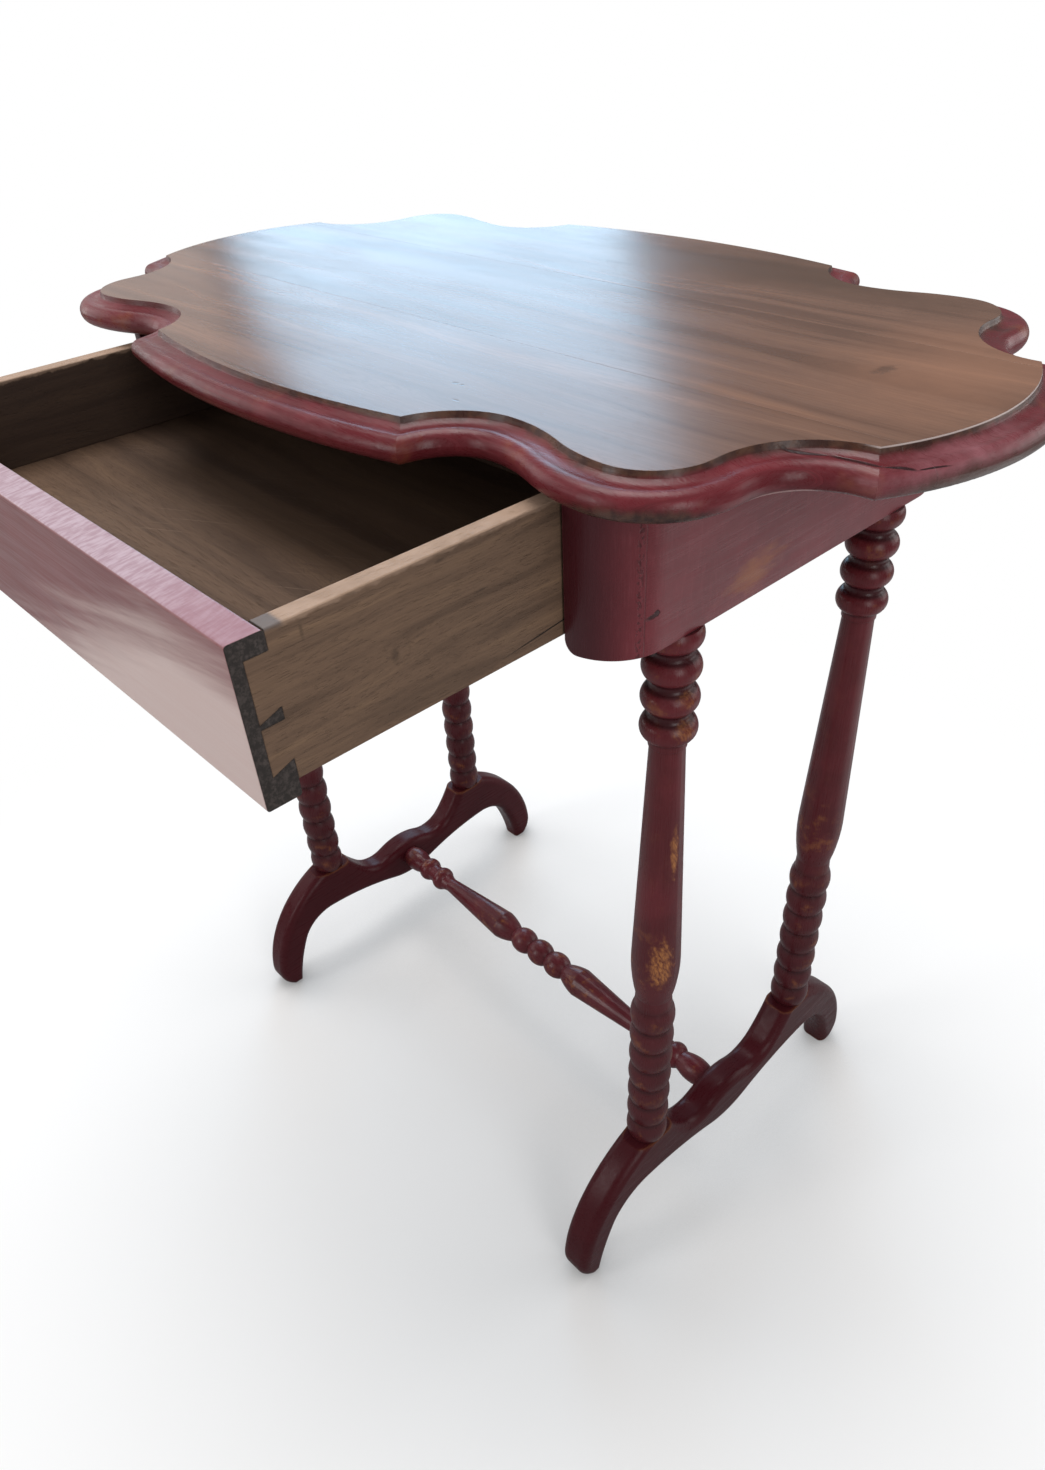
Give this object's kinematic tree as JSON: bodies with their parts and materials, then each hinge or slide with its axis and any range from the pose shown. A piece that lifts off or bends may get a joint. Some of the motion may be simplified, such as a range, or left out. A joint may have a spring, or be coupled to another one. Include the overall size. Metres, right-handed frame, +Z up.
{
  "type": "side table",
  "caption": "Side table with a shaped, moulded top, a rounded case with a sliding drawer, turned legs on arched trestle feet and a turned stretcher.",
  "frame": {"origin": "on the floor under the middle of the top and midway between the trestle feet", "axes": "+Z up, +X to the right seen from the drawer side, -Y the way the drawer opens"},
  "size_m": [0.715, 0.5545, 0.72],
  "materials": {
    "top_wood": "stained brown, satin",
    "paint": "burgundy paint, satin, rubbed through at edges",
    "drawer_wood": "old bare wood, waxed",
    "plain_wood": "bare wood",
    "steel": "dull steel"
  },
  "bodies": {
    "table": {"back_apron": "paint", "cleat_screws": "steel", "corner_block_front_left": "paint", "corner_block_front_right": "paint", "corner_block_rear_left": "paint", "corner_block_rear_right": "paint", "drawer_runner_left": "plain_wood", "drawer_runner_right": "plain_wood", "drawer_stops": "plain_wood", "leg_front_left": "paint", "leg_front_right": "paint", "leg_rear_left": "paint", "leg_rear_right": "paint", "runner_screws": "steel", "side_apron_left": "paint", "side_apron_right": "paint", "stretcher": "paint", "top_board_centre": "top_wood", "top_board_front": "top_wood", "top_board_rear": "top_wood", "top_cleat_left": "plain_wood", "top_cleat_right": "plain_wood", "top_screws": "steel", "trestle_foot_left": "paint", "trestle_foot_right": "paint"},
    "drawer": {"drawer_back": "drawer_wood", "drawer_back_nails": "steel", "drawer_bottom": "drawer_wood", "drawer_bottom_nails": "steel", "drawer_front": "paint", "drawer_side_left": "drawer_wood", "drawer_side_right": "drawer_wood"}
  },
  "joints": [
    {"name": "drawer_slide", "type": "slide", "parent": "table", "child": "drawer", "axis": [0, -1, 0], "range_m": [-0.18, 0.045]}
  ]
}
